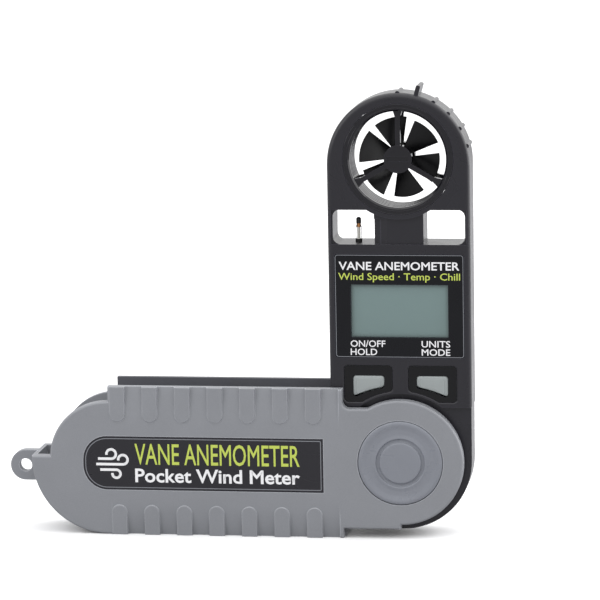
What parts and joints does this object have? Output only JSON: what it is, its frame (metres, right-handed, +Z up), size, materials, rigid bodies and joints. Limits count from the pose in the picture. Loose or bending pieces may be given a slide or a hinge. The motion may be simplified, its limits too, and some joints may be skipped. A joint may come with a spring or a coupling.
{
  "type": "vane anemometer",
  "caption": "Pocket vane anemometer with a display and a temperature probe, standing open on the long edge of its grey flip cover.",
  "frame": {"origin": "middle of the cover's flat standing edge, at half the thickness", "axes": "+X from the cover's round end towards the pivot, +Y from the display to the back, +Z up along the open meter"},
  "size_m": [0.1431, 0.0194, 0.1367],
  "materials": {
    "cover_grey": "mid-grey moulded ABS, fine satin grain",
    "cap_grey": "mid-grey moulded ABS, smooth satin",
    "strip_black": "dark moulded plastic, satin",
    "label_black": "black printed plastic plate, low gloss",
    "meter_black": "black moulded ABS, fine satin grain",
    "guard_black": "black moulded plastic, satin",
    "impeller_black": "black moulded plastic, smooth",
    "panel_black": "black printed film, gloss",
    "recess_black": "black moulded plastic, gloss",
    "display_window": "clear acrylic over a grey-green display",
    "display_glass": "grey-green liquid crystal glass",
    "button_grey": "light grey silicone rubber",
    "seal_rubber": "black rubber",
    "holder_white": "white moulded plastic",
    "board_green": "green solder mask over glass epoxy",
    "chip_black": "black epoxy",
    "cell_can": "bright metal can of a coin cell",
    "contact_brass": "copper alloy, bright",
    "bead_black": "black epoxy bead",
    "stem_white": "white sleeve",
    "steel": "plated steel",
    "axle_aluminium": "turned aluminium",
    "nylon": "natural nylon",
    "jewel": "polished jewel",
    "magnet": "sintered magnet"
  },
  "bodies": {
    "cover": {"cover_front_shell": "cover_grey", "cover_rear_shell": "cover_grey", "rear_grip_strip": "strip_black", "cover_label": "label_black", "pivot_cap_front": "cap_grey", "pivot_cap_rear": "cap_grey", "pivot_axle": "axle_aluminium", "pivot_screw": "steel", "pivot_washer": "steel", "friction_ring_front": "nylon", "friction_ring_rear": "nylon"},
    "meter": {"front_case": "meter_black", "rear_case": "meter_black", "case_seal": "seal_rubber", "pivot_bush": "nylon", "case_screws": "steel", "face_label": "panel_black", "lcd_window": "display_window", "lcd_module": "display_glass", "lcd_contact_strips": "seal_rubber", "display_holder": "holder_white", "circuit_board": "board_green", "board_components": "chip_black", "keypad_mat": "button_grey", "button_domes": "steel", "power_surround": "recess_black", "mode_surround": "recess_black", "coin_cell": "cell_can", "battery_contact_negative": "contact_brass", "battery_contact_positive": "contact_brass", "pickup_sensor": "chip_black", "pickup_lead": "contact_brass", "thermistor_bead": "bead_black", "thermistor_ferrule": "contact_brass", "thermistor_stem": "stem_white", "thermistor_grommet": "seal_rubber", "front_guard": "guard_black", "rear_guard": "guard_black", "bearing_front": "jewel", "bearing_rear": "jewel"},
    "impeller_rotor": {"impeller": "impeller_black", "impeller_spindle": "steel", "impeller_magnet": "magnet"},
    "power_key": {"power_button": "button_grey"},
    "mode_key": {"mode_button": "button_grey"},
    "battery_hatch": {"battery_door": "meter_black", "battery_door_seal": "seal_rubber"}
  },
  "joints": [
    {"name": "fold", "type": "hinge", "parent": "cover", "child": "meter", "pos_m": [0.05355, 0, 0.0234], "axis": [0, 1, 0], "range_deg": [-90, 90]},
    {"name": "impeller_spin", "type": "hinge", "parent": "meter", "child": "impeller_rotor", "pos_m": [0.05355, 0, 0.1148], "axis": [0, 1, 0], "continuous": true},
    {"name": "power_button_press", "type": "slide", "parent": "meter", "child": "power_key", "axis": [0, 1, 0], "range_m": [0, 0.0006], "stiffness_N_per_m": 1500},
    {"name": "mode_button_press", "type": "slide", "parent": "meter", "child": "mode_key", "axis": [0, 1, 0], "range_m": [0, 0.0006], "stiffness_N_per_m": 1500},
    {"name": "battery_door_turn", "type": "hinge", "parent": "meter", "child": "battery_hatch", "pos_m": [0.05355, 0, 0.0674], "axis": [0, 1, 0], "range_deg": [0, 45]}
  ]
}
